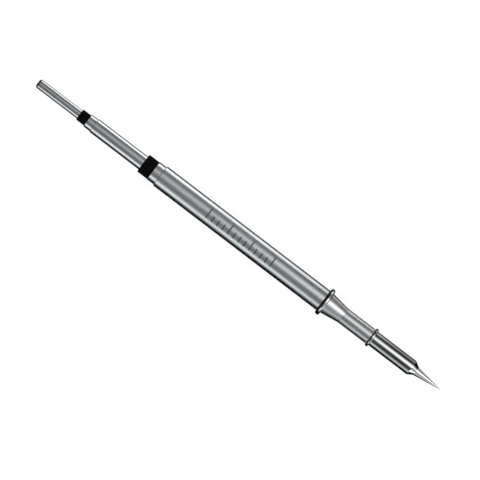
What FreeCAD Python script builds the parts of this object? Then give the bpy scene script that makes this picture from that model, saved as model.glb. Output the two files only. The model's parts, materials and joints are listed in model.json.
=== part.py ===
import FreeCAD, Part
import math
import os

# A soldering iron tip of the cartridge kind. A needle-pointed working end is joined to a steel
# body with a stop bead, two contacts stand in line behind it, and the heater and its wires lie
# inside. Sizes are in millimetres. +X runs along the axis to the point and +Z is up. The origin
# is on the axis at the rear face of the stop bead, which meets the handle when the tip is in.

os.makedirs("parts", exist_ok=True)

# Fits
FIT = 0.02  # radial clearance between two turned pieces, one in the other
WIRE_PLAY = 0.05  # radial clearance of a wire in its bore
SETBACK = 0.15  # how far an insulating ring's spigot stops short of the end of its neck

# Rear contact: a pin with a thinner stem in front of it
PIN_LENGTH = 7.9
PIN_SHOULDER = 0.35
PIN_END_ROUND = 0.35
STEM_DIAMETER = 0.8
STEM_LENGTH = 6.0
STEM_HOLE_DEPTH = 1.5

# Insulating rings between the contacts and the barrel
CONTACT_RING_LENGTH = 1.5
CONTACT_RING_WALL = 0.41
CONTACT_RING_FLANGE = 0.12
BARREL_RING_LENGTH = 1.9
BARREL_RING_WALL = 0.235
BARREL_RING_FLANGE = 0.17

# Middle contact: a tube drawn down to a neck at its rear end, and turned down where it is buried
MIDDLE_WALL = 0.25
MIDDLE_STEP = 0.1
MIDDLE_NECK_LENGTH = 1.35
MIDDLE_LENGTH = 9.15
MIDDLE_TURNED_DOWN = 0.05
MIDDLE_REACH = 3.7  # how far it goes into the barrel past the barrel's own neck

# Main barrel: a tube drawn down to a neck at its rear end
BARREL_WALL = 0.2
BARREL_STEP = 0.175
BARREL_NECK_LENGTH = 1.3
BARREL_LENGTH = 30.7
BEVEL_LENGTH = 0.2  # along the axis, of each bevel from a neck up to its tube

# Front sleeve: stop bead, cone and narrow tube, with a spigot in the barrel's front end
SLEEVE_WALL = 0.25
SLEEVE_SPIGOT_LENGTH = 3.0
BEAD_LENGTH = 0.8
BEAD_RISE = 0.5
CONE_LENGTH = 2.95
CONE_SETBACK = 0.05  # how far the cone's rear end lies inside the barrel's outer radius
NARROW_LENGTH = 5.15

# Working end: spigot, collar, shank, shoulder and needle, turned in one piece
TIP_SPIGOT_LENGTH = 3.0
TIP_SPIGOT_WALL = 0.23
COLLAR_LENGTH = 0.6
COLLAR_RISE = 0.275
COLLAR_EDGE = 0.15
SHANK_LENGTH = 7.1
SHANK_WALL = 0.45
SHOULDER_LENGTH = 0.9
NEEDLE_BASE_DIAMETER = 1.4
NEEDLE_LENGTH = 4.5
POINT_DIAMETER = 0.12
SOCKET_NOSE = 1.0  # solid metal from the end of the heater socket's wall to the shoulder
DRILL_POINT_ANGLE = 118.0  # degrees, of the cone that ends the heater socket

# Heater: a flat strip wound on a ceramic bobbin, in a ceramic jacket
BOBBIN_WALL = 0.3
BOBBIN_INSET = 0.5  # from the socket's mouth to the bobbin
STRIP_THICKNESS = 0.1
STRIP_TURNS = 5
STRIP_GAP = 1.2  # between one turn and the next
JACKET_WALL = 0.19

# Wires
SENSE_WIRE_DIAMETER = 0.2
HEATER_WIRE_DIAMETER = 0.25
JUNCTION_DIAMETER = 0.4
JUNCTION_LENGTH = 0.15
WIRE_BEND_LENGTH = 2.2  # along the axis, of the heater wire's bend out to the middle contact
WIRE_STRAIGHT = 0.4  # straight run before and after that bend
WIRE_WELD_LENGTH = 2.6  # run that lies along the middle contact's bore

# Ceramics
LEAD_INSULATOR_COUNT = 3
LEAD_INSULATOR_WALL = 0.3  # outside the heater wire's bore
CENTRE_INSULATOR_LENGTH = 3.0
SPACER_LENGTH = 2.0

# Radii at the rear, from the stem outwards
stem_radius = STEM_DIAMETER / 2
pin_radius = stem_radius + PIN_SHOULDER
stem_bore = stem_radius + FIT
contact_spigot_radius = stem_bore + CONTACT_RING_WALL
contact_ring_radius = contact_spigot_radius + CONTACT_RING_FLANGE
middle_neck_bore = contact_spigot_radius + FIT
middle_bore = middle_neck_bore + MIDDLE_STEP
middle_radius = middle_bore + MIDDLE_WALL
buried_radius = middle_radius - MIDDLE_TURNED_DOWN
barrel_spigot_bore = buried_radius + FIT
barrel_spigot_radius = barrel_spigot_bore + BARREL_RING_WALL
barrel_ring_radius = barrel_spigot_radius + BARREL_RING_FLANGE
barrel_bore = barrel_spigot_radius + FIT + BARREL_STEP
barrel_radius = barrel_bore + BARREL_WALL

# Radii at the heater, from the sense wire outwards
sense_radius = SENSE_WIRE_DIAMETER / 2
sense_bore = sense_radius + WIRE_PLAY
bobbin_radius = sense_bore + BOBBIN_WALL
strip_bore = bobbin_radius + FIT
strip_middle = strip_bore + STRIP_THICKNESS / 2
strip_radius = strip_bore + STRIP_THICKNESS
jacket_bore = strip_radius + FIT
jacket_radius = jacket_bore + JACKET_WALL
socket_radius = jacket_radius + FIT
drill_slope = math.tan(math.radians(DRILL_POINT_ANGLE / 2))

# Radii from the heater's socket out to the front sleeve
shank_radius = socket_radius + SHANK_WALL
tip_spigot_radius = socket_radius + TIP_SPIGOT_WALL
narrow_bore = tip_spigot_radius + FIT
narrow_radius = narrow_bore + SLEEVE_WALL
sleeve_spigot_radius = barrel_bore - FIT
sleeve_bore = sleeve_spigot_radius - SLEEVE_WALL

# Radii round the heater wire, which starts at the strip and ends along the middle contact's bore
heater_wire_radius = HEATER_WIRE_DIAMETER / 2
heater_wire_bore = heater_wire_radius + WIRE_PLAY
weld_offset = middle_bore - FIT - heater_wire_radius
lead_radius = strip_middle + heater_wire_bore + LEAD_INSULATOR_WALL

# Stations along the axis, backwards from the stop bead
barrel_shoulder = -BARREL_LENGTH
barrel_rear = barrel_shoulder - BARREL_NECK_LENGTH
barrel_ring_rear = barrel_rear - BARREL_RING_LENGTH
middle_shoulder = barrel_ring_rear - MIDDLE_LENGTH
middle_rear = middle_shoulder - MIDDLE_NECK_LENGTH
contact_ring_rear = middle_rear - CONTACT_RING_LENGTH
pin_rear = contact_ring_rear - PIN_LENGTH
stem_front = contact_ring_rear + STEM_LENGTH
stem_hole_end = stem_front - STEM_HOLE_DEPTH
middle_front = barrel_shoulder + MIDDLE_REACH
sleeve_rear = -SLEEVE_SPIGOT_LENGTH
lead_rear = middle_front + WIRE_STRAIGHT + WIRE_BEND_LENGTH + WIRE_STRAIGHT
heater_wire_rear = middle_front - WIRE_WELD_LENGTH

# Stations along the axis, forwards from the stop bead
cone_rear = BEAD_LENGTH
narrow_rear = cone_rear + CONE_LENGTH
narrow_front = narrow_rear + NARROW_LENGTH
tip_rear = narrow_front - TIP_SPIGOT_LENGTH
shank_rear = narrow_front + COLLAR_LENGTH
shank_front = shank_rear + SHANK_LENGTH
needle_rear = shank_front + SHOULDER_LENGTH
point = needle_rear + NEEDLE_LENGTH
socket_end = shank_front - SOCKET_NOSE
bobbin_rear = tip_rear + BOBBIN_INSET

# The socket ends in a drilled point, where the strip's front edge and the junction's nose sit
socket_point = socket_end + socket_radius / drill_slope
bobbin_front = socket_end + (socket_radius - strip_radius) / drill_slope - FIT
junction_radius = JUNCTION_DIAMETER / 2
junction_shoulder = socket_point - junction_radius / drill_slope - FIT
junction_rear = junction_shoulder - JUNCTION_LENGTH

ORIGIN = FreeCAD.Vector(0, 0, 0)
AXIS = FreeCAD.Vector(1, 0, 0)
UP = FreeCAD.Vector(0, 0, 1)
NO_LENGTH = 1e-6


class Outline:
    """Half of a lengthwise section, walked point by point and then turned about the axis."""

    def __init__(self, x, radius):
        self.start = self.here = FreeCAD.Vector(x, 0, radius)
        self.edges = []

    def to(self, x, radius):
        """A straight run to the point; a run of no length is left out."""
        there = FreeCAD.Vector(x, 0, radius)
        if not there.isEqual(self.here, NO_LENGTH):
            self.edges.append(Part.LineSegment(self.here, there).toShape())
            self.here = there
        return self

    def arc(self, by_x, by_radius, x, radius):
        """A round run that passes the first point on its way to the second."""
        there = FreeCAD.Vector(x, 0, radius)
        by = FreeCAD.Vector(by_x, 0, by_radius)
        self.edges.append(Part.Arc(self.here, by, there).toShape())
        self.here = there
        return self

    def turned(self):
        """The solid that the closed outline sweeps out."""
        self.to(self.start.x, self.start.z)
        return Part.Face(Part.Wire(self.edges)).revolve(ORIGIN, AXIS, 360)


def rod(rear, front, radius, drop=0.0):
    """A round bar along the axis, or below it by the drop."""
    return Part.makeCylinder(radius, front - rear, FreeCAD.Vector(rear, 0, -drop), AXIS)


def tube(rear, front, bore, radius):
    return Outline(rear, bore).to(rear, radius).to(front, radius).to(front, bore).turned()


def necked_tube(rear, shoulder, front, bore, wall, step):
    """A tube drawn down at its rear end, with the same wall through the bevel and the neck."""
    bevel_front = shoulder + BEVEL_LENGTH
    outline = Outline(rear, bore - step).to(rear, bore - step + wall)
    outline.to(shoulder, bore - step + wall).to(bevel_front, bore + wall).to(front, bore + wall)
    outline.to(front, bore).to(bevel_front, bore).to(shoulder, bore - step)
    return outline.turned()


def insulating_ring(rear, neck_rear, spigot_front, bore, spigot_radius, radius):
    """A moulded ring whose spigot goes into the neck in front of it."""
    outline = Outline(rear, bore).to(rear, radius).to(neck_rear, radius)
    outline.to(neck_rear, spigot_radius).to(spigot_front, spigot_radius).to(spigot_front, bore)
    return outline.turned()


def wire_bores(body, rear, front):
    """The body with the sense wire's bore on its axis and the heater wire's bore below it."""
    return body.cut([rod(rear, front, sense_bore), rod(rear, front, heater_wire_bore, strip_middle)])


def soldering_tip():
    """Needle, shoulder, shank, collar and spigot, with the heater's socket drilled from behind."""
    collar_radius = narrow_radius + COLLAR_RISE
    outline = Outline(tip_rear, socket_radius).to(tip_rear, tip_spigot_radius)
    outline.to(narrow_front, tip_spigot_radius).to(narrow_front, collar_radius - COLLAR_EDGE)
    outline.to(narrow_front + COLLAR_EDGE, collar_radius).to(shank_rear - COLLAR_EDGE, collar_radius)
    outline.to(shank_rear, collar_radius - COLLAR_EDGE).to(shank_rear, shank_radius)
    outline.to(shank_front, shank_radius).to(needle_rear, NEEDLE_BASE_DIAMETER / 2)
    outline.to(point, POINT_DIAMETER / 2).to(point, 0)
    outline.to(socket_point, 0).to(socket_end, socket_radius)
    return outline.turned()


def front_sleeve():
    """Spigot, stop bead with a full round rim, cone and narrow tube, with a stepped bore."""
    rim = BEAD_LENGTH / 2
    rim_centre = barrel_radius + BEAD_RISE - rim
    outline = Outline(sleeve_rear, sleeve_bore).to(sleeve_rear, sleeve_spigot_radius)
    outline.to(0, sleeve_spigot_radius).to(0, rim_centre)
    outline.arc(rim, rim_centre + rim, cone_rear, rim_centre)
    outline.to(cone_rear, barrel_radius - CONE_SETBACK).to(narrow_rear, narrow_radius)
    outline.to(narrow_front, narrow_radius).to(narrow_front, narrow_bore)
    outline.to(cone_rear, narrow_bore).to(cone_rear, sleeve_bore)
    return outline.turned()


def main_barrel():
    return necked_tube(barrel_rear, barrel_shoulder, 0, barrel_bore, BARREL_WALL, BARREL_STEP)


def middle_contact():
    """Necked tube whose buried front end leaves a shoulder for the barrel's ring to seat on."""
    contact = necked_tube(
        middle_rear, middle_shoulder, middle_front, middle_bore, MIDDLE_WALL, MIDDLE_STEP
    )
    return contact.cut(tube(barrel_ring_rear, middle_front, buried_radius, middle_radius))


def barrel_insulator():
    return insulating_ring(
        barrel_ring_rear,
        barrel_rear,
        barrel_shoulder - SETBACK,
        barrel_spigot_bore,
        barrel_spigot_radius,
        barrel_ring_radius,
    )


def contact_insulator():
    return insulating_ring(
        contact_ring_rear,
        middle_rear,
        middle_shoulder - SETBACK,
        stem_bore,
        contact_spigot_radius,
        contact_ring_radius,
    )


def rear_contact():
    """Pin with a rounded rear edge, and the stem with the hole that takes the sense wire."""
    edge = min(PIN_END_ROUND, pin_radius)
    inset = edge * (1 - math.cos(math.radians(45)))
    outline = Outline(pin_rear, 0).to(pin_rear, pin_radius - edge)
    outline.arc(pin_rear + inset, pin_radius - inset, pin_rear + edge, pin_radius)
    outline.to(contact_ring_rear, pin_radius).to(contact_ring_rear, stem_radius)
    outline.to(stem_front, stem_radius).to(stem_front, sense_bore)
    outline.to(stem_hole_end, sense_bore).to(stem_hole_end, 0)
    return outline.turned()


def centre_insulator():
    """Ceramic tube round the stem, seated on the shoulder inside the middle contact."""
    rear = middle_shoulder + BEVEL_LENGTH
    return tube(rear, rear + CENTRE_INSULATOR_LENGTH, stem_bore, middle_bore - FIT)


def spacer_ring():
    """Ceramic ring that centres the middle contact's front end in the barrel."""
    return tube(middle_front - SPACER_LENGTH, middle_front, barrel_spigot_bore, barrel_bore - FIT)


def magnesia_fill():
    """Packed powder between the lead insulators and the barrel."""
    return tube(lead_rear, sleeve_rear, lead_radius + FIT, barrel_bore - FIT)


def lead_insulator(number):
    """One of the ceramic tubes that carry both wires along the barrel, counted from the front."""
    length = (sleeve_rear - lead_rear) / LEAD_INSULATOR_COUNT
    front = sleeve_rear - number * length
    return wire_bores(rod(front - length, front, lead_radius), front - length, front)


def sleeve_insulator():
    """Stepped ceramic that fills the front sleeve's bore up to the working end."""
    head = rod(sleeve_rear, cone_rear, sleeve_bore - FIT)
    body = head.fuse(rod(cone_rear, tip_rear, narrow_bore - FIT))
    return wire_bores(body, sleeve_rear, tip_rear)


def heater_bobbin():
    return tube(bobbin_rear, bobbin_front, sense_bore, bobbin_radius)


def heater_jacket():
    return tube(bobbin_rear, socket_end, jacket_bore, jacket_radius)


def heater_strip():
    """Flat strip wound on the bobbin and cut flush with both of its ends."""
    length = bobbin_front - bobbin_rear
    pitch = length / STRIP_TURNS
    width = pitch - STRIP_GAP
    corners = [(strip_bore, 0), (strip_radius, 0), (strip_radius, width), (strip_bore, width)]
    section = Part.makePolygon([FreeCAD.Vector(x, 0, z) for x, z in corners + corners[:1]])

    # wound about Z with a turn to spare at each end, so that both cuts cross the whole width
    winding = Part.BRepOffsetAPI.MakePipeShell(Part.makeHelix(pitch, length + 2 * pitch, strip_middle))
    winding.setBiNormalMode(UP)
    winding.add(section)
    winding.build()
    winding.makeSolid()
    strip = winding.shape().common(Part.makeCylinder(jacket_bore, length, UP * pitch)).Solids[0]

    # the middle of the rear cut goes below the axis, where the heater wire meets it
    strip.rotate(ORIGIN, UP, 180 * width / pitch)
    strip.rotate(ORIGIN, FreeCAD.Vector(0, 1, 0), 90)
    strip.translate(AXIS * (bobbin_rear - pitch))
    return strip


def thermocouple_junction():
    """Weld bead on the sense wire's front end, with a nose that fills the drilled point."""
    outline = Outline(junction_rear, 0).to(junction_rear, junction_radius)
    outline.to(junction_shoulder, junction_radius).to(socket_point - FIT, 0)
    return outline.turned()


def sense_wire():
    return rod(stem_hole_end, junction_rear, sense_radius)


def heater_wire():
    """Wire from the strip's rear edge, back through the ceramics and out to the middle contact."""
    shift = weld_offset - strip_middle
    angle = 2 * math.atan2(shift, WIRE_BEND_LENGTH)
    radius = WIRE_BEND_LENGTH / (2 * math.sin(angle))
    front = lead_rear - WIRE_STRAIGHT
    rear = front - WIRE_BEND_LENGTH
    along, out = radius * math.sin(angle / 2), radius * (1 - math.cos(angle / 2))

    def below(x, offset):
        return FreeCAD.Vector(x, 0, -offset)

    middle = below((front + rear) / 2, (strip_middle + weld_offset) / 2)
    edges = [
        Part.LineSegment(below(bobbin_rear, strip_middle), below(front, strip_middle)).toShape(),
        Part.Arc(below(front, strip_middle), below(front - along, strip_middle + out), middle).toShape(),
        Part.Arc(middle, below(rear + along, weld_offset - out), below(rear, weld_offset)).toShape(),
        Part.LineSegment(below(rear, weld_offset), below(heater_wire_rear, weld_offset)).toShape(),
    ]
    section = Part.Circle(below(bobbin_rear, strip_middle), AXIS, heater_wire_radius).toShape()
    return Part.Wire(edges).makePipeShell([Part.Wire(section)], True, False)


pieces = {
    "soldering_tip": soldering_tip(),
    "front_sleeve": front_sleeve(),
    "main_barrel": main_barrel(),
    "barrel_insulator": barrel_insulator(),
    "middle_contact": middle_contact(),
    "contact_insulator": contact_insulator(),
    "rear_contact": rear_contact(),
    "centre_insulator": centre_insulator(),
    "spacer_ring": spacer_ring(),
    "magnesia_fill": magnesia_fill(),
    "sleeve_insulator": sleeve_insulator(),
    "heater_bobbin": heater_bobbin(),
    "heater_jacket": heater_jacket(),
    "heater_strip": heater_strip(),
    "thermocouple_junction": thermocouple_junction(),
    "sense_wire": sense_wire(),
    "heater_wire": heater_wire(),
}
for number in range(LEAD_INSULATOR_COUNT):
    pieces[f"lead_insulator_{number + 1}"] = lead_insulator(number)

for name, shape in pieces.items():
    shape.exportStep(f"parts/{name}.step")
    print(f"{name}: {len(shape.Solids)} solid, {shape.Volume:.3f} mm3, valid {shape.isValid()}")
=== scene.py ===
"""A needle-pointed soldering iron tip, dressed and lit for a studio picture.

Lengths are in millimetres and become metres where a mesh or a material is made. Stations are
measured along the X axis from the stop bead's rear face, and grow towards the needle's point. Each
turned piece is an outline carried round that axis.
"""

import json
import logging
import math
from dataclasses import dataclass
from enum import Enum
from functools import cache, cached_property
from typing import NamedTuple, Optional, Sequence, Union

import bpy
import numpy as np
from bpy.types import ID, Material, Node, NodeSocket, NodeTree, Object
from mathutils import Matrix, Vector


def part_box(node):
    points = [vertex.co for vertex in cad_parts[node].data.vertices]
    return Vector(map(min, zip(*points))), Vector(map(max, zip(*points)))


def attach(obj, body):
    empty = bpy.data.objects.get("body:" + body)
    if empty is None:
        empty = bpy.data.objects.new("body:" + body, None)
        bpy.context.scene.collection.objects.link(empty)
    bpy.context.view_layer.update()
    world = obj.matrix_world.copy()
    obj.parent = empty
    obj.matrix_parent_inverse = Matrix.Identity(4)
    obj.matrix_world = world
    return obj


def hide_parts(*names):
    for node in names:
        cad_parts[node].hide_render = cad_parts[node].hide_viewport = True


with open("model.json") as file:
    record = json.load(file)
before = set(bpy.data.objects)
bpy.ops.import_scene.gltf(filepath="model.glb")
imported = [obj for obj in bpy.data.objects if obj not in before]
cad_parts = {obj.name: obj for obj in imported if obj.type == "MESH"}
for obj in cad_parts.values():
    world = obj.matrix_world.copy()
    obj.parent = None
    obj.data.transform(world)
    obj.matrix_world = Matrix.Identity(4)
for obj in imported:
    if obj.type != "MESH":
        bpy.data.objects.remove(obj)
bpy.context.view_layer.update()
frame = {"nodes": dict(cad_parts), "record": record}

LOG = logging.getLogger("soldering_tip")
MM = 0.001
BODY = "root"

Colour = tuple[float, float, float]
Value = Union[NodeSocket, float, tuple, None]


def placed(name: str, data: ID) -> Object:
    """Make an object of a mesh or a camera, at the origin of the scene.

    Args:
        name: The object's name.
        data: Its mesh or camera.

    Returns:
        The object.
    """
    made = bpy.data.objects.new(name, data)
    bpy.context.scene.collection.objects.link(made)
    return made


class Way(Enum):
    """Whether an outline closes on itself, as a tube's section does, or runs from axis to axis."""

    TUBE = "tube"
    BAR = "bar"


class Span(NamedTuple):
    """How far a node reaches along the axis and out from it, in millimetres."""

    rear: float
    front: float
    radius: float

    @classmethod
    def of(cls, node: str) -> "Span":
        """Measure a node of the frame.

        Args:
            node: The node's name.

        Returns:
            Its span.
        """
        low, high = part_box(node)
        return cls(low.x / MM, high.x / MM, high.z / MM)


class Outline:
    """Half of a lengthwise section: corners, each with its own rounding, in millimetres."""

    ARC_STEP = math.radians(7.5)  # The widest angle between two points of an arc.
    RUN_STEP = 0.35  # The longest step along a straight run.
    HOLD = 0.02  # The short step beside each end of a run.
    SIDE_SHARE = 0.499  # The most of a side that a rounding may use.

    def __init__(self, way: Way) -> None:
        """Start an empty outline that closes the given way."""
        self.way = way
        self.corners: list[tuple[float, float, float]] = []

    def to(self, x: float, radius: float, rounding: float = 0.0) -> "Outline":
        """Add a corner and return the outline."""
        self.corners.append((x, radius, rounding))
        return self

    def corner_points(self, index: int) -> np.ndarray:
        """Round one corner.

        The arc is tangent to both sides, and its centre is on the corner's bisector. Each end lies as
        far from the corner as the rounding divided by the tangent of half the angle between the
        sides, or nearly half of the shorter side if that is less.

        Args:
            index: The corner's place in the outline.

        Returns:
            The arc's points, or the corner alone if it isn't rounded.
        """
        here = np.array(self.corners[index][:2])
        rounding = self.corners[index][2]
        if rounding <= 0:
            return here[None]
        before = np.array(self.corners[index - 1][:2]) - here
        after = np.array(self.corners[(index + 1) % len(self.corners)][:2]) - here
        reach = self.SIDE_SHARE * min(np.linalg.norm(before), np.linalg.norm(after))
        before, after = before / np.linalg.norm(before), after / np.linalg.norm(after)
        angle = math.acos(float(np.clip(before @ after, -1, 1)))
        tangent = min(rounding / math.tan(angle / 2), reach)
        radius = tangent * math.tan(angle / 2)
        bisector = (before + after) / np.linalg.norm(before + after)
        centre = here + bisector * radius / math.sin(angle / 2)
        turn = math.pi - angle
        count = max(3, math.ceil(turn / self.ARC_STEP) + 1)
        share = np.linspace(0, 1, count)[:, None]
        start, end = here + before * tangent - centre, here + after * tangent - centre
        mixed = np.sin((1 - share) * turn) * start + np.sin(share * turn) * end
        return centre + mixed / math.sin(turn)

    def points(self) -> np.ndarray:
        """Walk the outline.

        Rounded corners become arcs. Straight runs are divided evenly, with a short step beside each
        end, so that the shading of an arc doesn't spread along the run.

        Returns:
            An array of stations and radii in millimetres, one row to a point.
        """
        arcs = [self.corner_points(i) for i in range(len(self.corners))]
        rows = []
        for i, arc in enumerate(arcs):
            rows.append(arc)
            last = i == len(arcs) - 1
            if last and self.way is Way.BAR:
                continue
            start, end = arc[-1], arcs[(i + 1) % len(arcs)][0]
            length = float(np.linalg.norm(end - start))
            if length > 4 * self.HOLD:
                hold = self.HOLD / length
                inner = np.linspace(hold, 1 - hold, max(2, math.ceil(length / self.RUN_STEP)))
                rows.append(start + inner[:, None] * (end - start))
        return np.vstack(rows)


class Turned:
    """Makes closed meshes by carrying outlines round the X axis."""

    SEGMENTS = 192

    @classmethod
    def make(cls, name: str, outline: Outline) -> Object:
        """Carry an outline once round the axis.

        A point keeps its station. Its Y is its radius times the cosine of the angle, and its Z its
        radius times the sine. A tube's section closes on itself. A bar's first and last points lie
        on the axis, and each is a single vertex with a fan.

        Args:
            name: The new object's name.
            outline: The section, walked so that the outside runs from rear to front.

        Returns:
            The object, with its place in its mesh.
        """
        section = outline.points() * MM
        angles = np.linspace(0, 2 * math.pi, cls.SEGMENTS, endpoint=False)
        rings = section if outline.way is Way.TUBE else section[1:-1]
        x = np.repeat(rings[:, :1], cls.SEGMENTS, axis=1)
        y = rings[:, 1:] * np.cos(angles)
        z = rings[:, 1:] * np.sin(angles)
        vertices = np.stack([x, y, z], axis=-1).reshape(-1, 3)
        index = np.arange(len(vertices)).reshape(len(rings), cls.SEGMENTS)
        if outline.way is Way.TUBE:
            index = np.vstack([index, index[:1]])
        following = np.roll(index, -1, axis=1)
        quads = np.stack([index[:-1], following[:-1], following[1:], index[1:]], axis=-1).reshape(-1, 4)
        faces = quads.tolist()
        if outline.way is Way.BAR:
            rear = len(vertices)
            ends = np.array([[section[0, 0], 0, 0], [section[-1, 0], 0, 0]])
            vertices = np.vstack([vertices, ends])
            poles = np.full(cls.SEGMENTS, rear), np.full(cls.SEGMENTS, rear + 1)
            faces += np.stack([poles[0], following[0], index[0]], axis=-1).tolist()
            faces += np.stack([poles[1], index[-1], following[-1]], axis=-1).tolist()
        mesh = bpy.data.meshes.new(name)
        mesh.from_pydata(vertices.tolist(), [], faces)
        mesh.shade_smooth()
        mesh.update()
        return placed(name, mesh)


class Graph:
    """Adds nodes to a tree and joins their sockets."""

    # Where a Mix node keeps its factor, its two colours and the mixed colour.
    MIX_FACTOR, MIX_FIRST, MIX_SECOND, MIX_RESULT = 0, 6, 7, 2

    def __init__(self, tree: NodeTree) -> None:
        """Work on the given tree."""
        self.tree = tree

    def node(self, kind: str, inputs: Optional[dict] = None, **options: object) -> Node:
        """Add a node.

        Args:
            kind: The node's type name.
            inputs: Values or sockets for its inputs, by name or place.
            options: Its own settings.

        Returns:
            The node.
        """
        made = self.tree.nodes.new(kind)
        for name, value in options.items():
            setattr(made, name, value)
        for key, value in (inputs or {}).items():
            self.feed(made.inputs[key], value)
        return made

    def feed(self, socket: NodeSocket, value: Value) -> None:
        """Give a socket a value, or join another socket to it.

        Args:
            socket: The socket to feed.
            value: What it gets. A colour gets full opacity too, and None leaves the socket alone.
        """
        if isinstance(value, NodeSocket):
            self.tree.links.new(value, socket)
        elif value is not None:
            socket.default_value = (*value, 1.0) if socket.type == "RGBA" else value

    def math(self, operation: str, a: Value, b: Value = None, c: Value = None) -> NodeSocket:
        """Add a Math node and return its output."""
        return self.node("ShaderNodeMath", {0: a, 1: b, 2: c}, operation=operation).outputs[0]

    def fade(self, value: Value, start: Value, end: Value) -> NodeSocket:
        """Rise smoothly from 0 where the value is at start to 1 where it is at end."""
        inputs = {"Value": value, "From Min": start, "From Max": end}
        return self.node("ShaderNodeMapRange", inputs, interpolation_type="SMOOTHSTEP").outputs[0]

    def blend(self, factor: Value, a: Value, b: Value) -> NodeSocket:
        """Mix two colours, with the factor as the share of the second, and return the result."""
        inputs = {self.MIX_FACTOR: factor, self.MIX_FIRST: a, self.MIX_SECOND: b}
        return self.node("ShaderNodeMix", inputs, data_type="RGBA").outputs[self.MIX_RESULT]

    def stretch(self, place: Value, scale: Value) -> NodeSocket:
        """Scale a place by a different amount along each axis."""
        inputs = {0: place, 1: scale}
        return self.node("ShaderNodeVectorMath", inputs, operation="MULTIPLY").outputs[0]

    def noise(self, place: Value, scale: Value, detail: float, rough: float = 0.5) -> NodeSocket:
        """Add fractal noise about 0.5, with a scale for each axis, and return its value."""
        inputs = {"Vector": self.stretch(place, scale), "Scale": 1.0, "Detail": detail, "Roughness": rough}
        return self.node("ShaderNodeTexNoise", inputs).outputs[0]

    def split(self, place: Value) -> Sequence[NodeSocket]:
        """Take a vector apart and return its three outputs."""
        return self.node("ShaderNodeSeparateXYZ", {0: place}).outputs

    def joined(self, x: Value, y: Value, z: Value) -> NodeSocket:
        """Put three values together as a vector."""
        return self.node("ShaderNodeCombineXYZ", {0: x, 1: y, 2: z}).outputs[0]


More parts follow.
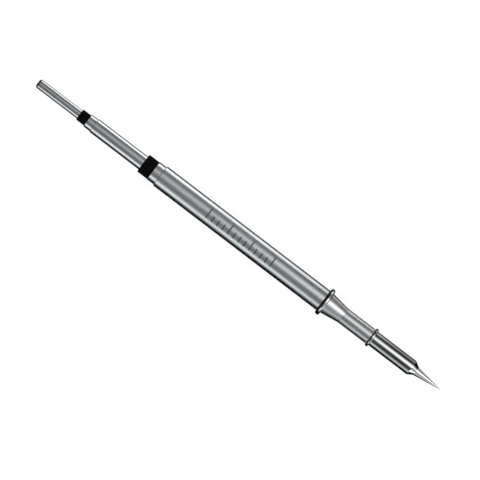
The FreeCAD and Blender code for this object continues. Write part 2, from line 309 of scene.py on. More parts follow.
class Effects:
    """Surface effects that several finishes share, each built once as a node group.

    The scales are counts of noise cells per metre, along the axis and across it, and the rounds are
    counts across it. A span is the value at which an effect starts to show and the value at which
    it shows in full.
    """

    RING_ROUND = 90.0
    BAND_ROUND = 60.0
    RINGS_IN_A_BAND = 8.0
    SCRATCH_AXIS = (0.3, 0.5, 0.8)
    SCRATCH_SCALE = (700.0, 16000.0, 9000.0)
    SCRATCH_SPAN = (0.66, 0.74)
    HANDLED_SCALE = (500.0, 700.0, 700.0)
    HANDLED_SPAN = (0.45, 0.7)
    CLOUD_ALONG = 0.4
    CLOUD_SPAN = (0.3, 0.7)
    WEAR_SCALE = (2500.0, 2500.0, 2500.0)
    WEAR_SWING = 0.4
    WEAR_LEAST = 0.6
    EDGE_SCALE = (900.0, 900.0, 900.0)
    SPECKS_A_GRAIN = (0.45, 0.45, 0.45)
    SPECK_SPAN = (0.62, 0.72)

    @staticmethod
    def group(name: str, inputs: dict[str, Optional[float]], outputs: Sequence[str]) -> tuple:
        """Start a node group.

        Args:
            name: The group's name.
            inputs: Each input's name with its first value, or with None for a place.
            outputs: The names of its outputs, which are all values.

        Returns:
            The group's tree, its graph, its input sockets and the node that takes its outputs.
        """
        tree = bpy.data.node_groups.new(name, "ShaderNodeTree")
        for title, value in inputs.items():
            kind = "NodeSocketVector" if value is None else "NodeSocketFloat"
            socket = tree.interface.new_socket(name=title, in_out="INPUT", socket_type=kind)
            if value is not None:
                socket.default_value = value
        for title in outputs:
            tree.interface.new_socket(name=title, in_out="OUTPUT", socket_type="NodeSocketFloat")
        graph = Graph(tree)
        return tree, graph, graph.node("NodeGroupInput").outputs, graph.node("NodeGroupOutput")

    @cached_property
    def turning(self) -> NodeTree:
        """Fine rings left by turning and grinding.

        Noise is squeezed along the axis to the number of rings and drawn out across it. Rings is
        the fine relief, and Bands a coarser change of tone eight times as wide.

        Returns:
            The group, with inputs Place and Rings per metre and outputs Rings and Bands.
        """
        tree, graph, given, result = self.group(
            "turning_marks", {"Place": None, "Rings per metre": 20000.0}, ["Rings", "Bands"]
        )
        count = given["Rings per metre"]
        fine = graph.joined(count, self.RING_ROUND, self.RING_ROUND)
        bands = graph.math("DIVIDE", count, self.RINGS_IN_A_BAND)
        coarse = graph.joined(bands, self.BAND_ROUND, self.BAND_ROUND)
        graph.feed(result.inputs["Rings"], graph.noise(given["Place"], fine, 2.0))
        graph.feed(result.inputs["Bands"], graph.noise(given["Place"], coarse, 3.0, 0.6))
        return tree

    @cached_property
    def hairlines(self) -> NodeTree:
        """Sparse fine scratches from handling.

        Noise is drawn out along one leaning direction. Only its highest ridges are kept, and only
        in patches.

        Returns:
            The group, with inputs Place, Lean and Amount and output Scratches.
        """
        tree, graph, given, result = self.group(
            "hairline_scratches", {"Place": None, "Lean": 0.4, "Amount": 0.5}, ["Scratches"]
        )
        turned = graph.node(
            "ShaderNodeVectorRotate",
            {"Vector": given["Place"], "Axis": self.SCRATCH_AXIS, "Angle": given["Lean"]},
        ).outputs[0]
        ridges = graph.noise(turned, self.SCRATCH_SCALE, 1.0)
        handled = graph.noise(given["Place"], self.HANDLED_SCALE, 2.0)
        patches = graph.fade(handled, *self.HANDLED_SPAN)
        lines = graph.math("MULTIPLY", graph.fade(ridges, *self.SCRATCH_SPAN), patches)
        graph.feed(result.inputs["Scratches"], graph.math("MULTIPLY", lines, given["Amount"]))
        return tree

    @cached_property
    def clouding(self) -> NodeTree:
        """Slow change of tone over a few millimetres, as handling and cleaning leave.

        Returns:
            The group, with inputs Place and Patches per metre and output Clouds.
        """
        tree, graph, given, result = self.group(
            "soft_clouding", {"Place": None, "Patches per metre": 300.0}, ["Clouds"]
        )
        count = given["Patches per metre"]
        drawn = graph.joined(graph.math("MULTIPLY", count, self.CLOUD_ALONG), count, count)
        clouds = graph.noise(given["Place"], drawn, 4.0, 0.6)
        graph.feed(result.inputs["Clouds"], graph.fade(clouds, *self.CLOUD_SPAN))
        return tree

    @cached_property
    def rim(self) -> NodeTree:
        """Rubbed edges: 0 up to one distance from the axis, and from 0.6 to 1 beyond another.

        Returns:
            The group, with inputs Place, Inner and Outer and output Rubbed.
        """
        tree, graph, given, result = self.group(
            "rubbed_rim", {"Place": None, "Inner": 0.001, "Outer": 0.002}, ["Rubbed"]
        )
        flat = graph.stretch(given["Place"], (0.0, 1.0, 1.0))
        away = graph.node("ShaderNodeVectorMath", {0: flat}, operation="LENGTH").outputs["Value"]
        broken = graph.noise(given["Place"], self.WEAR_SCALE, 3.0)
        broken = graph.math("MULTIPLY_ADD", broken, self.WEAR_SWING, self.WEAR_LEAST)
        mask = graph.math("MULTIPLY", graph.fade(away, given["Inner"], given["Outer"]), broken)
        graph.feed(result.inputs["Rubbed"], mask)
        return tree

    @cached_property
    def stations(self) -> NodeTree:
        """A change along the axis: 0 behind From and 1 in front of To, with an uneven edge.

        Returns:
            The group, with inputs Place, From, To and Uneven and output Share.
        """
        tree, graph, given, result = self.group(
            "along_the_axis", {"Place": None, "From": 0.0, "To": 0.001, "Uneven": 0.0004}, ["Share"]
        )
        along = graph.split(given["Place"])[0]
        uneven = graph.noise(given["Place"], self.EDGE_SCALE, 2.0)
        shifted = graph.math("MULTIPLY_ADD", graph.math("SUBTRACT", uneven, 0.5), given["Uneven"], along)
        graph.feed(result.inputs["Share"], graph.fade(shifted, given["From"], given["To"]))
        return tree

    @cached_property
    def grains(self) -> NodeTree:
        """Fired or moulded grain: fine relief with sparse darker specks.

        Returns:
            The group, with inputs Place and Grains per metre and outputs Relief and Specks.
        """
        tree, graph, given, result = self.group(
            "fired_grain", {"Place": None, "Grains per metre": 9000.0}, ["Relief", "Specks"]
        )
        count = given["Grains per metre"]
        grains = graph.joined(count, count, count)
        graph.feed(result.inputs["Relief"], graph.noise(given["Place"], grains, 3.0))
        sparse = graph.noise(given["Place"], graph.stretch(grains, self.SPECKS_A_GRAIN), 2.0)
        graph.feed(result.inputs["Specks"], graph.fade(sparse, *self.SPECK_SPAN))
        return tree


EFFECTS = Effects()


@dataclass(frozen=True)
class Finish:
    """What every finish has: a name, a colour, a gloss and the colour of its clouded patches."""

    name: str
    colour: Colour
    roughness: float
    dull: Colour

    def start(self) -> tuple[Material, Graph, Node, NodeSocket]:
        """Start a material.

        Returns:
            The material, its graph, its surface shader and the place on the object.
        """
        material = bpy.data.materials.new(self.name)
        material.use_nodes = True
        graph = Graph(material.node_tree)
        shader = material.node_tree.nodes["Principled BSDF"]
        place = graph.node("ShaderNodeTexCoord").outputs["Object"]
        return material, graph, shader, place

    @staticmethod
    def effect(graph: Graph, tree: NodeTree, place: Value, **inputs: float) -> Node:
        """Place a shared effect in a material.

        Args:
            graph: The material's graph.
            tree: The effect.
            place: The place on the object.
            inputs: The effect's other values, with underscores for the spaces in their names.

        Returns:
            The node, whose outputs are the effect's.
        """
        made = graph.node("ShaderNodeGroup", node_tree=tree)
        graph.feed(made.inputs["Place"], place)
        for name, value in inputs.items():
            made.inputs[name.replace("_", " ")].default_value = value
        return made

    @staticmethod
    def surface(
        graph: Graph, shader: Node, colour: Value, gloss: Value, relief: Value, depth: float
    ) -> None:
        """Join what varies over the surface to the shader.

        Args:
            graph: The material's graph.
            shader: Its surface shader.
            colour: The colour.
            gloss: The roughness.
            relief: The height of the relief, from 0 to 1.
            depth: How deep the relief is, in millimetres.
        """
        bump = graph.node("ShaderNodeBump", {"Strength": 1.0, "Distance": depth * MM, "Height": relief})
        graph.feed(shader.inputs["Base Color"], colour)
        graph.feed(shader.inputs["Roughness"], gloss)
        graph.feed(shader.inputs["Normal"], bump.outputs[0])

    def material(self) -> Material:
        """Build the finish; each kind of finish has its own way."""
        raise NotImplementedError


@dataclass(frozen=True)
class ScaleMark:
    """A plain graduated scale, burnt into the barrel on the side that faces up.

    It starts at the rear and has a line at each pitch. Line is a line's width, base is where the
    lines start across the barrel, and short and long are their two lengths.
    """

    rear: float = -21.5
    pitch: float = 1.0
    divisions: int = 12
    long_every: int = 4
    line: float = 0.24
    base: float = -0.85
    short: float = 0.95
    long: float = 1.7
    softness: float = 0.05

    def mask(self, graph: Graph, place: NodeSocket) -> NodeSocket:
        """Draw the scale.

        A line is where the distance to the nearest whole division is under half its width. It
        starts at the base and is short or, at every few divisions, long. It lies on the upper half.

        Args:
            graph: The material's graph.
            place: The place on the object, in metres.

        Returns:
            1 in the marks and 0 elsewhere.
        """
        x, y, z = graph.split(graph.stretch(place, (1 / MM, 1 / MM, 1 / MM)))
        from_start = graph.math("SUBTRACT", x, self.rear)
        blur = self.softness / 2

        def near(pitch: float) -> NodeSocket:
            """Give 1 within half a line's width of each multiple of the pitch."""
            away = graph.math("PINGPONG", from_start, pitch / 2)
            return graph.fade(away, self.line / 2 + blur, self.line / 2 - blur)

        def up_to(length: float) -> NodeSocket:
            """Give 1 before the far end of a line of that length."""
            end = self.base + length
            return graph.fade(y, end + blur, end - blur)

        short = graph.math("MULTIPLY", near(self.pitch), up_to(self.short))
        long = graph.math("MULTIPLY", near(self.pitch * self.long_every), up_to(self.long))
        lines = graph.math("MAXIMUM", short, long)
        length = self.pitch * self.divisions
        beyond = self.pitch / 2
        inside = graph.math(
            "MULTIPLY",
            graph.fade(from_start, -beyond, -beyond + self.softness),
            graph.fade(from_start, length + beyond, length + beyond - self.softness),
        )
        above = graph.fade(y, self.base - blur, self.base + blur)
        facing = graph.fade(z, 0.0, self.softness)
        there = graph.math("MULTIPLY", above, facing)
        return graph.math("MULTIPLY", graph.math("MULTIPLY", lines, inside), there)


@dataclass(frozen=True)
class ShadeLine:
    """A stretch along the axis, at a joint or a step, where painted shade darkens the metal's colour: it
    stands for the dark reflection and shade that fall there.
    """

    start: float
    end: float
    share: float = 1.0
    fade: float = 0.03
    uneven: float = 0.06

    def mask(self, graph: Graph, place: NodeSocket) -> NodeSocket:
        """Tell how much painted shade there is: the share between start and end, fading at both.

        Args:
            graph: The material's graph.
            place: The place on the object, in metres.

        Returns:
            The share of painted shade at each place.
        """
        first, last, fade, uneven = (size * MM for size in (self.start, self.end, self.fade, self.uneven))
        rise, fall = (
            Finish.effect(graph, EFFECTS.stations, place, From=station, To=station + fade, Uneven=uneven)
            for station in (first, last - fade)
        )
        between = graph.math("SUBTRACT", rise.outputs[0], fall.outputs[0])
        return graph.math("MULTIPLY", between, self.share)


@dataclass(frozen=True)
class MetalFinish(Finish):
    """Turned and polished metal with fine rings, handling marks and, where it runs hot, a tint.

    Rings and patches are counts per metre. Rubbed is the two distances from the axis between which
    wear sets in, and the other spans are pairs of stations. Tones and shares go from 0 to 1.
    """

    rings: float
    ring_depth: float = 0.0008
    ring_tone: float = 0.16
    ring_colour: Colour = (0.1, 0.1, 0.1)
    patches: float = 300.0
    gloss_swing: float = 0.06
    scratches: float = 0.6
    scratch_colour: Colour = (0.9, 0.9, 0.9)
    scratch_share: float = 0.3
    scratch_gloss: float = 0.12
    rubbed: tuple[float, float] = (0.0, 0.0)
    rubbed_colour: Colour = (0.82, 0.81, 0.8)
    rubbed_share: float = 0.25
    rubbed_gloss: float = -0.15
    warm: Colour = (0.0, 0.0, 0.0)
    warm_span: tuple[float, float] = (0.0, 0.0)
    warm_share: float = 0.0
    satin_span: tuple[float, float] = (0.0, 0.0)
    satin: float = 0.0
    shade_lines: tuple[ShadeLine, ...] = ()
    # Colour of the painted shade at joints and steps.
    shade_tone: Colour = (0.022, 0.021, 0.02)
    mark: Optional[ScaleMark] = None
    mark_colour: Colour = (0.035, 0.034, 0.034)
    mark_share: float = 0.8
    mark_grain: float = 0.25
    mark_least: float = 0.85
    mark_gloss: float = 0.35

    def material(self) -> Material:
        """Build the finish.

        Returns:
            Its material.
        """
        material, graph, shader, place = self.start()
        turning = self.effect(graph, EFFECTS.turning, place, Rings_per_metre=self.rings)
        clouds = self.effect(graph, EFFECTS.clouding, place, Patches_per_metre=self.patches).outputs[0]
        lines = self.effect(graph, EFFECTS.hairlines, place, Amount=self.scratches).outputs[0]

        colour = graph.blend(clouds, self.colour, self.dull)
        bands = graph.math("MULTIPLY", turning.outputs["Bands"], self.ring_tone)
        colour = graph.blend(bands, colour, self.ring_colour)
        scratched = graph.math("MULTIPLY", lines, self.scratch_share)
        colour = graph.blend(scratched, colour, self.scratch_colour)

        swing = graph.math("MULTIPLY_ADD", clouds, self.gloss_swing, self.roughness - self.gloss_swing / 2)
        gloss = graph.math("MULTIPLY_ADD", turning.outputs["Bands"], self.gloss_swing, swing)
        gloss = graph.math("MULTIPLY_ADD", lines, self.scratch_gloss, gloss)
        if self.warm_share > 0:
            start, end = (station * MM for station in self.warm_span)
            share = self.effect(graph, EFFECTS.stations, place, From=start, To=end).outputs[0]
            share = graph.math("MULTIPLY", share, self.warm_share)
            colour = graph.blend(share, colour, self.warm)
        if self.satin > 0:
            start, end = (station * MM for station in self.satin_span)
            share = self.effect(graph, EFFECTS.stations, place, From=start, To=end).outputs[0]
            gloss = graph.math("MULTIPLY_ADD", share, self.satin, gloss)
        if self.rubbed[1] > 0:
            inner, outer = (radius * MM for radius in self.rubbed)
            worn = self.effect(graph, EFFECTS.rim, place, Inner=inner, Outer=outer).outputs[0]
            share = graph.math("MULTIPLY", worn, self.rubbed_share)
            colour = graph.blend(share, colour, self.rubbed_colour)
            gloss = graph.math("MULTIPLY_ADD", worn, self.rubbed_gloss, gloss)
        # Painted shade: the metal's colour is darkened at joints and steps, where its reflection is dark.
        for shade_line in self.shade_lines:
            colour = graph.blend(shade_line.mask(graph, place), colour, self.shade_tone)
        if self.mark is not None:
            burnt = self.mark.mask(graph, place)
            grain = graph.math("MULTIPLY_ADD", turning.outputs["Rings"], self.mark_grain, self.mark_least)
            share = graph.math("MULTIPLY", graph.math("MULTIPLY", burnt, grain), self.mark_share)
            colour = graph.blend(share, colour, self.mark_colour)
            gloss = graph.math("MULTIPLY_ADD", share, self.mark_gloss, gloss)
        shader.inputs["Metallic"].default_value = 1.0
        self.surface(graph, shader, colour, gloss, turning.outputs["Rings"], self.ring_depth)
        return material


@dataclass(frozen=True)
class GrainFinish(Finish):
    """Moulded plastic, ceramic or powder: a grained surface that isn't metal.

    Grains and patches are counts per metre, and the grain's depth is in millimetres.
    """

    specks: Colour
    grains: float = 9000.0
    grain_depth: float = 0.002
    patches: float = 400.0
    gloss_swing: float = 0.1
    shine: float = 0.5
    speck_share: float = 0.4

    def material(self) -> Material:
        """Build the finish.

        Returns:
            Its material.
        """
        material, graph, shader, place = self.start()
        grain = self.effect(graph, EFFECTS.grains, place, Grains_per_metre=self.grains)
        clouds = self.effect(graph, EFFECTS.clouding, place, Patches_per_metre=self.patches).outputs[0]
        colour = graph.blend(clouds, self.colour, self.dull)
        specks = graph.math("MULTIPLY", grain.outputs["Specks"], self.speck_share)
        colour = graph.blend(specks, colour, self.specks)
        gloss = graph.math("MULTIPLY_ADD", clouds, self.gloss_swing, self.roughness - self.gloss_swing / 2)
        shader.inputs["Metallic"].default_value = 0.0
        shader.inputs["Specular IOR Level"].default_value = self.shine
        self.surface(graph, shader, colour, gloss, grain.outputs["Relief"], self.grain_depth)
        return material


TIP_PLATING = MetalFinish(
    "tip_plating", (0.72, 0.72, 0.72), 0.07, dull=(0.69, 0.69, 0.69), rings=26000.0, ring_depth=0.0002,
    ring_tone=0.03, gloss_swing=0.03, scratches=0.5, satin_span=(16.4, 17.8), satin=0.1,
    # Painted shade at the collar's rear and in front of it, at the shank's root.
    shade_lines=(ShadeLine(8.97, 9.2, fade=0.05), ShadeLine(9.34, 9.5, 0.8, 0.05)),
)
SLEEVE_STEEL = MetalFinish(
    "sleeve_steel", (0.675, 0.675, 0.68), 0.255, dull=(0.63, 0.63, 0.635), rings=18000.0,
    rubbed=(1.95, 2.3), warm=(0.62, 0.60, 0.57), warm_span=(7.0, 8.9), warm_share=0.25,
    # Painted shade on the bead's rear side and, lighter, just in front of it.
    shade_lines=(ShadeLine(-0.03, 0.36, fade=0.06), ShadeLine(0.6, 0.8, 0.2, 0.06)),
)
BARREL_STEEL = MetalFinish(
    "barrel_steel", (0.675, 0.675, 0.685), 0.235, dull=(0.635, 0.635, 0.645), rings=16000.0,
    # Painted shade, a light dark line at the barrel's neck bevel.
    mark=ScaleMark(), shade_lines=(ShadeLine(-30.83, -30.69, 0.3, 0.04),),
)
CONTACT_STEEL = MetalFinish(
    "contact_steel", (0.665, 0.67, 0.68), 0.195, dull=(0.625, 0.63, 0.64), rings=22000.0, scratches=0.7,
    # Painted shade at the middle contact's neck bevel and round the rear end of the pin.
    shade_lines=(ShadeLine(-43.27, -43.13, 0.3, 0.04), ShadeLine(-53.79, -53.5, fade=0.04, uneven=0.01)),
)
BLACK_PLASTIC = GrainFinish(
    "black_plastic", (0.0014, 0.0014, 0.0014), 0.8, dull=(0.0022, 0.0022, 0.0022),
    specks=(0.006, 0.006, 0.006), grains=12000.0, grain_depth=0.003, shine=0.06, speck_share=0.5,
)
WHITE_CERAMIC = GrainFinish(
    "white_ceramic", (0.80, 0.78, 0.72), 0.55, dull=(0.74, 0.72, 0.66), specks=(0.42, 0.36, 0.28)
)
MAGNESIA = GrainFinish(
    "packed_magnesia", (0.72, 0.71, 0.68), 0.95, dull=(0.62, 0.61, 0.58), specks=(0.5, 0.48, 0.44),
    grains=14000.0, grain_depth=0.01, shine=0.2,
)
HEATER_ALLOY = MetalFinish(
    "heater_alloy", (0.36, 0.33, 0.31), 0.42, dull=(0.24, 0.24, 0.27), rings=9000.0, ring_depth=0.001,
    ring_tone=0.3, gloss_swing=0.15,
)
WIRE_ALLOY = MetalFinish(
    "wire_alloy", (0.52, 0.50, 0.48), 0.35, dull=(0.42, 0.40, 0.38), rings=6000.0, ring_depth=0.0006,
    ring_tone=0.2, gloss_swing=0.1,
)


@cache
def material_of(finish: Finish) -> Material:
    """Return the finish's material, which is built at its first use."""
    return finish.material()


@dataclass
class TurnedPart:
    """A piece turned about the axis, which stands for a node of the frame.

    Sizes are in millimetres. An edge or a corner is the radius of its rounding.
    """

    INNER_CORNER = 0.02
    BORE_EDGE = 0.03

    node: str
    slot: str
    finish: Finish

    @property
    def span(self) -> Span:
        """The node's own reach."""
        return Span.of(self.node)

    def outline(self) -> Outline:
        """Give the piece's section; each kind of piece has its own."""
        raise NotImplementedError

    def build(self) -> Object:
        """Make the piece, dress it and put it in its node's place.

        Returns:
            The piece.
        """
        made = Turned.make(f"{self.node}_finished", self.outline())
        made.data.materials.append(material_of(self.finish))
        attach(made, BODY)
        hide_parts(self.node)
        LOG.info("%s: %d faces, %s", made.name, len(made.data.polygons), self.finish.name)
        return made


@dataclass
class WorkingEnd(TurnedPart):
    """Spigot, collar, shank, shoulder and needle, with the heater's socket drilled from behind."""

    node: str = "soldering_tip"
    slot: str = "plated_tip"
    finish: MetalFinish = TIP_PLATING
    spigot_length: float = 3.0
    spigot_radius: float = 1.03
    socket_radius: float = 0.8
    socket_nose: float = 1.0
    socket_cone: float = 0.48
    joint_gap: float = 0.04
    collar_length: float = 0.5
    shank_front: float = 16.66
    shank_radius: float = 1.25
    shoulder_length: float = 0.88
    needle_radius: float = 0.72
    point_radius: float = 0.06
    socket_corner: float = 0.04
    spigot_edge: float = 0.05
    shank_corner: float = 0.03
    shank_edge: float = 0.06
    shoulder_corner: float = 0.08

    def outline(self) -> Outline:
        """Walk from the bottom of the socket out round the spigot and on to the point.

        Returns:
            The section.
        """
        rear, point, collar_radius = self.span
        collar_rear = rear + self.spigot_length + self.joint_gap
        shank_rear = collar_rear + self.collar_length
        shank_front = self.shank_front
        needle_rear = shank_front + self.shoulder_length
        socket_end = shank_front - self.socket_nose
        line = Outline(Way.BAR)
        line.to(socket_end + self.socket_cone, 0.0)
        line.to(socket_end, self.socket_radius, self.socket_corner)
        line.to(rear, self.socket_radius, self.BORE_EDGE).to(rear, self.spigot_radius, self.spigot_edge)
        line.to(collar_rear, self.spigot_radius, self.INNER_CORNER)
        line.to(collar_rear, collar_radius, self.collar_length / 2)
        line.to(shank_rear, collar_radius, self.collar_length / 2)
        line.to(shank_rear, self.shank_radius, self.shank_corner)
        line.to(shank_front, self.shank_radius, self.shank_edge)
        line.to(needle_rear, self.needle_radius, self.shoulder_corner)
        line.to(point, self.point_radius, self.point_radius).to(point, 0.0)
        return line


@dataclass
class FrontSleeve(TurnedPart):
    """Spigot, stop bead with a full round rim, cone and narrow tube, with a stepped bore."""

    node: str = "front_sleeve"
    slot: str = "sleeve_steel"
    finish: MetalFinish = SLEEVE_STEEL
    spigot_radius: float = 1.58
    spigot_bore: float = 1.33
    joint_gap: float = 0.03
    bead_length: float = 0.72
    cone_front: float = 3.75
    cone_radius: float = 1.75
    narrow_radius: float = 1.3
    narrow_bore: float = 1.05
    bore_step: float = 0.8
    spigot_edge: float = 0.06
    cone_corner: float = 0.08
    waist: float = 1.2
    mouth_edge: float = 0.05

    def outline(self) -> Outline:
        """Walk along the outside from the spigot to the narrow end and back through the bore.

        Returns:
            The section.
        """
        rear, front, bead_radius = self.span
        bead_rear = self.joint_gap
        cone_rear = bead_rear + self.bead_length
        cone_front = self.cone_front
        line = Outline(Way.TUBE)
        line.to(rear, self.spigot_bore, self.BORE_EDGE).to(rear, self.spigot_radius, self.spigot_edge)
        line.to(bead_rear, self.spigot_radius, self.INNER_CORNER)
        line.to(bead_rear, bead_radius, self.bead_length / 2)
        line.to(cone_rear, bead_radius, self.bead_length / 2)
        line.to(cone_rear, self.cone_radius, self.cone_corner)
        line.to(cone_front, self.narrow_radius, self.waist)
        line.to(front, self.narrow_radius, self.mouth_edge).to(front, self.narrow_bore, self.BORE_EDGE)
        line.to(self.bore_step, self.narrow_bore, self.INNER_CORNER)
        line.to(self.bore_step, self.spigot_bore, self.INNER_CORNER)
        return line


@dataclass
class NeckedTube(TurnedPart):
    """A drawn tube with a bevel down to a slightly narrower neck at its rear end.

    Where buried_from is given, the tube is turned down from there to its front end.
    """

    wall: float = 0.2
    step: float = 0.175
    neck_length: float = 1.23
    bevel_length: float = 0.06
    buried_from: Optional[float] = None
    turned_down: float = 0.0
    edge: float = 0.05
    front_edge: float = 0.03
    bevel_edge: float = 0.03
    bore_bend: float = 0.12
    neck_bend: float = 0.06

    def outline(self) -> Outline:
        """Walk along the outside from the neck to the front and back through the bore.

        Returns:
            The section.
        """
        rear, front, radius = self.span
        shoulder = rear + self.neck_length
        bevel_front = shoulder + self.bevel_length
        bore = radius - self.wall
        line = Outline(Way.TUBE)
        line.to(rear, bore - self.step, self.BORE_EDGE).to(rear, radius - self.step, self.edge)
        line.to(shoulder, radius - self.step, self.INNER_CORNER).to(bevel_front, radius, self.bevel_edge)
        if self.buried_from is not None:
            buried_radius = radius - self.turned_down
            line.to(self.buried_from, radius, self.edge / 2).to(self.buried_from, buried_radius)
            line.to(front, buried_radius, self.front_edge)
        else:
            line.to(front, radius, self.edge)
        line.to(front, bore, self.BORE_EDGE).to(bevel_front, bore, self.bore_bend)
        line.to(shoulder, bore - self.step, self.neck_bend)
        return line


@dataclass
class InsulatingRing(TurnedPart):
    """A moulded ring whose spigot goes into the neck in front of it."""

    bore: float
    spigot_radius: float
    flange_length: float
    edge: float = 0.07
    spigot_edge: float = 0.04

    def outline(self) -> Outline:
        """Walk along the outside from the rear face to the spigot and back through the bore.

        Returns:
            The section.
        """
        rear, front, radius = self.span
        seat = rear + self.flange_length
        line = Outline(Way.TUBE)
        line.to(rear, self.bore, self.BORE_EDGE).to(rear, radius, self.edge).to(seat, radius, self.edge)
        line.to(seat, self.spigot_radius, self.INNER_CORNER)
        line.to(front, self.spigot_radius, self.spigot_edge).to(front, self.bore, self.BORE_EDGE)
        return line


@dataclass
class RearContact(TurnedPart):
    """A pin with a rounded rear edge, and the stem with the hole that takes the sense wire."""

    node: str = "rear_contact"
    slot: str = "contact_steel"
    finish: MetalFinish = CONTACT_STEEL
    pin_length: float = 7.9
    stem_radius: float = 0.4
    hole_radius: float = 0.15
    hole_depth: float = 1.5
    end_round: float = 0.35
    edge: float = 0.04

    def outline(self) -> Outline:
        """Walk from the middle of the rear face along the pin and stem to the bottom of the hole.

        Returns:
            The section.
        """
        rear, front, radius = self.span
        seat = rear + self.pin_length
        bottom = front - self.hole_depth
        line = Outline(Way.BAR)
        line.to(rear, 0.0).to(rear, radius, self.end_round).to(seat, radius, self.edge)
        line.to(seat, self.stem_radius, self.INNER_CORNER).to(front, self.stem_radius, self.edge)
        line.to(front, self.hole_radius, self.INNER_CORNER)
        line.to(bottom, self.hole_radius, self.INNER_CORNER).to(bottom, 0.0)
        return line


@dataclass
class InnerParts:
    """The pieces inside, which keep their own shapes and get their finishes here."""

    finishes: tuple[tuple[str, Finish], ...] = (
        ("white_ceramic", WHITE_CERAMIC),
        ("magnesia", MAGNESIA),
        ("heater_alloy", HEATER_ALLOY),
        ("wire_alloy", WIRE_ALLOY),
    )

    def dress(self) -> None:
        """Give each inner node the finish of its material slot in the record."""
        slots = {row["node"]: row["material_slot"] for row in frame["record"]["subparts"]}
        by_slot = dict(self.finishes)
        for node, made in frame["nodes"].items():
            finish = by_slot.get(slots.get(node, ""))
            if finish is None:
                continue
            made.data.materials.clear()
            made.data.materials.append(material_of(finish))
            LOG.info("%s: %s", node, finish.name)


@dataclass(frozen=True)
class LightBand:
    """A soft-edged glowing band of the light tent, which runs along the part.

    Its middle, width and edge are degrees round the axis from straight up, positive towards -Y.
    """

    name: str
    middle: float
    width: float
    edge: float
    glow: Colour
    stations: tuple[float, ...] = (0.0,)
    levels: tuple[float, ...] = (1.0,)

    def light(self, angle: np.ndarray, x: np.ndarray) -> np.ndarray:
        """Work out the band's glow over the tent.

        Across the band it is 1 inside and falls to 0 over the edge as a smooth step. Along the part
        it follows the levels given at the stations.

        Args:
            angle: Angles round the axis from straight up, in degrees, positive towards -Y.
            x: Stations along the axis, in millimetres, of the same shape.

        Returns:
            Its colour at each place, with one more axis for red, green and blue.
        """
        away = np.abs((angle - self.middle + 180) % 360 - 180)
        rise = np.clip((self.width / 2 + self.edge / 2 - away) / self.edge, 0, 1)
        across = rise * rise * (3 - 2 * rise)
        along = np.interp(x, self.stations, self.levels)
        return (across * along)[..., None] * np.array(self.glow)


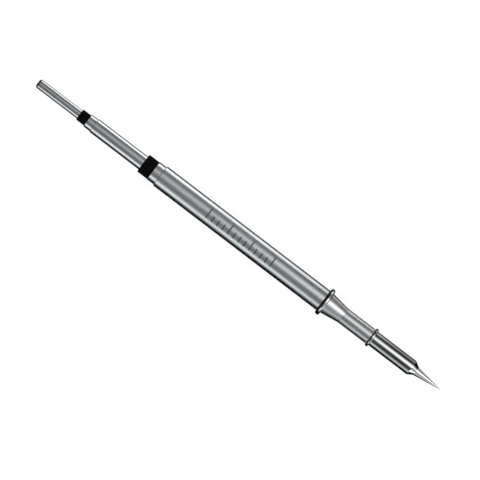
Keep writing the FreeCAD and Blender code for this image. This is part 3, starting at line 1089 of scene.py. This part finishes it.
@dataclass
class Studio:
    """Floor, light and camera, with lengths in millimetres and angles in degrees.

    The tent's grid is its number of lines round the axis and along it. Frame_width is what the
    picture takes in from side to side at the level of the axis.
    """

    floor_level: float = -2.32
    floor_size: float = 3000.0
    floor_glow: float = 0.88
    floor_tone: float = 0.16
    sky: float = 0.99
    tent_radius: float = 280.0
    tent_reach: float = 1600.0
    tent_grid: tuple[int, int] = (721, 641)
    lens: float = 250.0
    clip: tuple[float, float] = (50.0, 10000.0)
    frame_width: float = 72.03
    centre: tuple[float, float] = (-15.392, -0.379)
    turn: float = 37.351
    bands: tuple[LightBand, ...] = (
        LightBand(
            "overhead", -27.8, 27.5, 6.0, (1.0, 0.985, 0.985),
            (-250, -180, -110, -68, 0, 19, 29, 65, 140, 180, 205, 280, 305, 560, 700),
            (0.55, 0.35, 0.02, 0.15, 0.27, 0.43, 0.72, 1.2, 1.45, 1.5, 0.85, 0.85, 1.9, 2.0, 0.2),
        ),
        LightBand(
            "overhead_skirt", -10, 27.5, 20, (0.99, 1.0, 0.99),
            (-180, -110, -68, 0, 30, 65, 110, 180, 205, 280, 305, 560),
            (0.3, 0.03, 0.28, 0.36, 1.14, 1.35, 1.15, 1.02, 0.4, 0.4, 0.6, 0.0),
        ),
        LightBand(
            "far_side", -100, 33, 27, (0.98, 1.02, 1.03),
            (-250, -180, -110, -68, -35, 0, 30, 65),
            (0.9, 0.55, 0.8, 2.5, 2.1, 1.94, 0.27, 0.0),
        ),
        LightBand(
            "far_front", -105, 38, 22, (1.12, 0.985, 1.005),
            (30, 50, 65, 110, 140, 220), (0.0, 0.45, 0.62, 0.42, 0.5, 0.0),
        ),
        LightBand("point_far_side", -138, 40, 18, (1.0, 1.0, 1.0), (54, 66, 80, 100), (0.0, 0.5, 0.5, 0.0)),
        LightBand(
            "near_side", 74.8, 31, 29.5, (0.955, 1.03, 1.05),
            (-250, -180, -110, -68, -35, 0, 30, 65, 110, 180, 205, 280, 305),
            (1.2, 0.5, 0.6, 1.59, 1.53, 1.10, 0.72, 0.34, 0.67, 1.28, 0.8, 0.8, 2.2),
        ),
        LightBand("underside", 180, 26, 14, (0.99, 1.0, 1.02), levels=(0.5,)),
        LightBand("behind_near_side", 108, 24, 16, (0.98, 1.0, 1.01), (-260, -170), (0.35, 0.0)),
        LightBand(
            "behind_far_side", -85, 24, 14, (0.98, 1.0, 1.01),
            (170, 200, 260, 285), (0.0, 0.9, 0.9, 0.0),
        ),
        LightBand(
            "dim_top", 0.0, 142, 15, (0.965, 1.0, 1.02),
            (-180, -110, -68, 0, 30, 65, 92, 104, 114, 180, 205, 280, 305, 560),
            (0.15, 0.0, 0.21, 0.31, 0.0, 0.41, 0.35, 0.21, 0.33, 0.95, 0.35, 0.35, 1.04, 0.34),
        ),
    )

    def floor(self) -> None:
        """Lay a plain pale floor with a glow of its own, so that shadows on it stay light.

        Reflections don't show it.
        """
        half = self.floor_size / 2
        corners = np.array([[-half, -half], [half, -half], [half, half], [-half, half]])
        vertices = np.c_[corners, np.full(4, self.floor_level)] * MM
        mesh = bpy.data.meshes.new("floor")
        mesh.from_pydata(vertices.tolist(), [], [[0, 1, 2, 3]])
        made = placed("floor", mesh)
        made.visible_glossy = False
        material = bpy.data.materials.new("pale_floor")
        material.use_nodes = True
        shader = material.node_tree.nodes["Principled BSDF"]
        values = {
            "Base Color": (*[self.floor_tone] * 3, 1.0),
            "Roughness": 1.0,
            "Specular IOR Level": 0.0,
            "Emission Color": (1.0, 1.0, 1.0, 1.0),
            "Emission Strength": self.floor_glow,
        }
        for name, value in values.items():
            shader.inputs[name].default_value = value
        mesh.materials.append(material)

    def world(self) -> None:
        """Fill the room with even light that reaches matt surfaces and the background alone."""
        world = bpy.data.worlds.new("room")
        bpy.context.scene.world = world
        world.use_nodes = True
        backdrop = world.node_tree.nodes["Background"]
        backdrop.inputs["Color"].default_value = (self.sky, self.sky, self.sky, 1.0)
        world.cycles_visibility.glossy = False

    def tent(self) -> None:
        """Hang a light tent round the part, which only reflections show.

        It is a grid of angles round the axis and stations along it, at one radius. Each vertex has
        the sum of the bands' glow there as its colour.
        """
        around, along = self.tent_grid
        angle, x = np.meshgrid(
            np.linspace(-180, 180, around),
            np.linspace(-self.tent_reach, self.tent_reach, along),
            indexing="ij",
        )
        glow = sum(band.light(angle, x) for band in self.bands)
        turned = np.radians(angle)
        radius = self.tent_radius
        places = np.stack([x, -radius * np.sin(turned), radius * np.cos(turned)], axis=-1)
        index = np.arange(angle.size).reshape(angle.shape)
        quads = np.stack([index[:-1, :-1], index[1:, :-1], index[1:, 1:], index[:-1, 1:]], axis=-1)
        mesh = bpy.data.meshes.new("light_tent")
        mesh.from_pydata((places.reshape(-1, 3) * MM).tolist(), [], quads.reshape(-1, 4).tolist())
        colours = np.c_[glow.reshape(-1, 3), np.ones(angle.size)]
        layer = mesh.color_attributes.new("glow", "FLOAT_COLOR", "POINT")
        layer.data.foreach_set("color", colours.astype(np.float32).ravel())
        material = bpy.data.materials.new("tent_glow")
        material.use_nodes = True
        material.node_tree.nodes.clear()
        material.cycles.emission_sampling = "NONE"
        graph = Graph(material.node_tree)
        tint = graph.node("ShaderNodeAttribute", attribute_name="glow").outputs["Color"]
        shader = graph.node("ShaderNodeEmission", {"Color": tint, "Strength": 1.0})
        graph.node("ShaderNodeOutputMaterial", {"Surface": shader.outputs[0]})
        mesh.materials.append(material)
        made = placed("light_tent", mesh)
        made.visible_camera = made.visible_diffuse = made.visible_shadow = False
        made.visible_transmission = made.visible_volume_scatter = False

    def camera(self) -> None:
        """Set the camera straight above with a long lens, and turn it to the picture.

        Its distance is the frame's width times the lens, divided by the width of the sensor.
        """
        data = bpy.data.cameras.new("camera")
        data.lens = self.lens
        distance = self.frame_width * self.lens / data.sensor_width
        data.clip_start, data.clip_end = (distance * MM for distance in self.clip)
        made = placed("camera", data)
        made.location = (self.centre[0] * MM, self.centre[1] * MM, distance * MM)
        made.rotation_euler = (0.0, 0.0, math.radians(self.turn))
        bpy.context.scene.camera = made

    def set_up(self) -> None:
        """Set out floor, light and camera, and show colours as they are."""
        self.floor()
        self.world()
        self.tent()
        self.camera()
        bpy.context.scene.view_settings.view_transform = "Standard"
        LOG.info("studio: %d light bands", len(self.bands))


def pieces() -> list[TurnedPart]:
    """List the pieces that show, from the point to the rear.

    Returns:
        One object for each, not yet built.
    """
    return [
        WorkingEnd(),
        FrontSleeve(),
        NeckedTube("main_barrel", "barrel_steel", BARREL_STEEL),
        InsulatingRing(
            "barrel_insulator", "black_insulator", BLACK_PLASTIC,
            bore=1.17, spigot_radius=1.405, flange_length=1.9,
        ),
        NeckedTube(
            "middle_contact", "contact_steel", CONTACT_STEEL, wall=0.25, step=0.1, neck_length=1.2,
            buried_from=Span.of("barrel_insulator").rear, turned_down=0.05,
        ),
        InsulatingRing(
            "contact_insulator", "black_insulator", BLACK_PLASTIC,
            bore=0.42, spigot_radius=0.83, flange_length=1.5,
        ),
        RearContact(),
    ]


def main() -> None:
    """Build the pieces in order, dress the inner ones and set up the studio."""
    logging.basicConfig(level=logging.INFO, format="%(message)s")
    for piece in pieces():
        piece.build()
    InnerParts().dress()
    Studio().set_up()


if __name__ == "__main__":
    main()
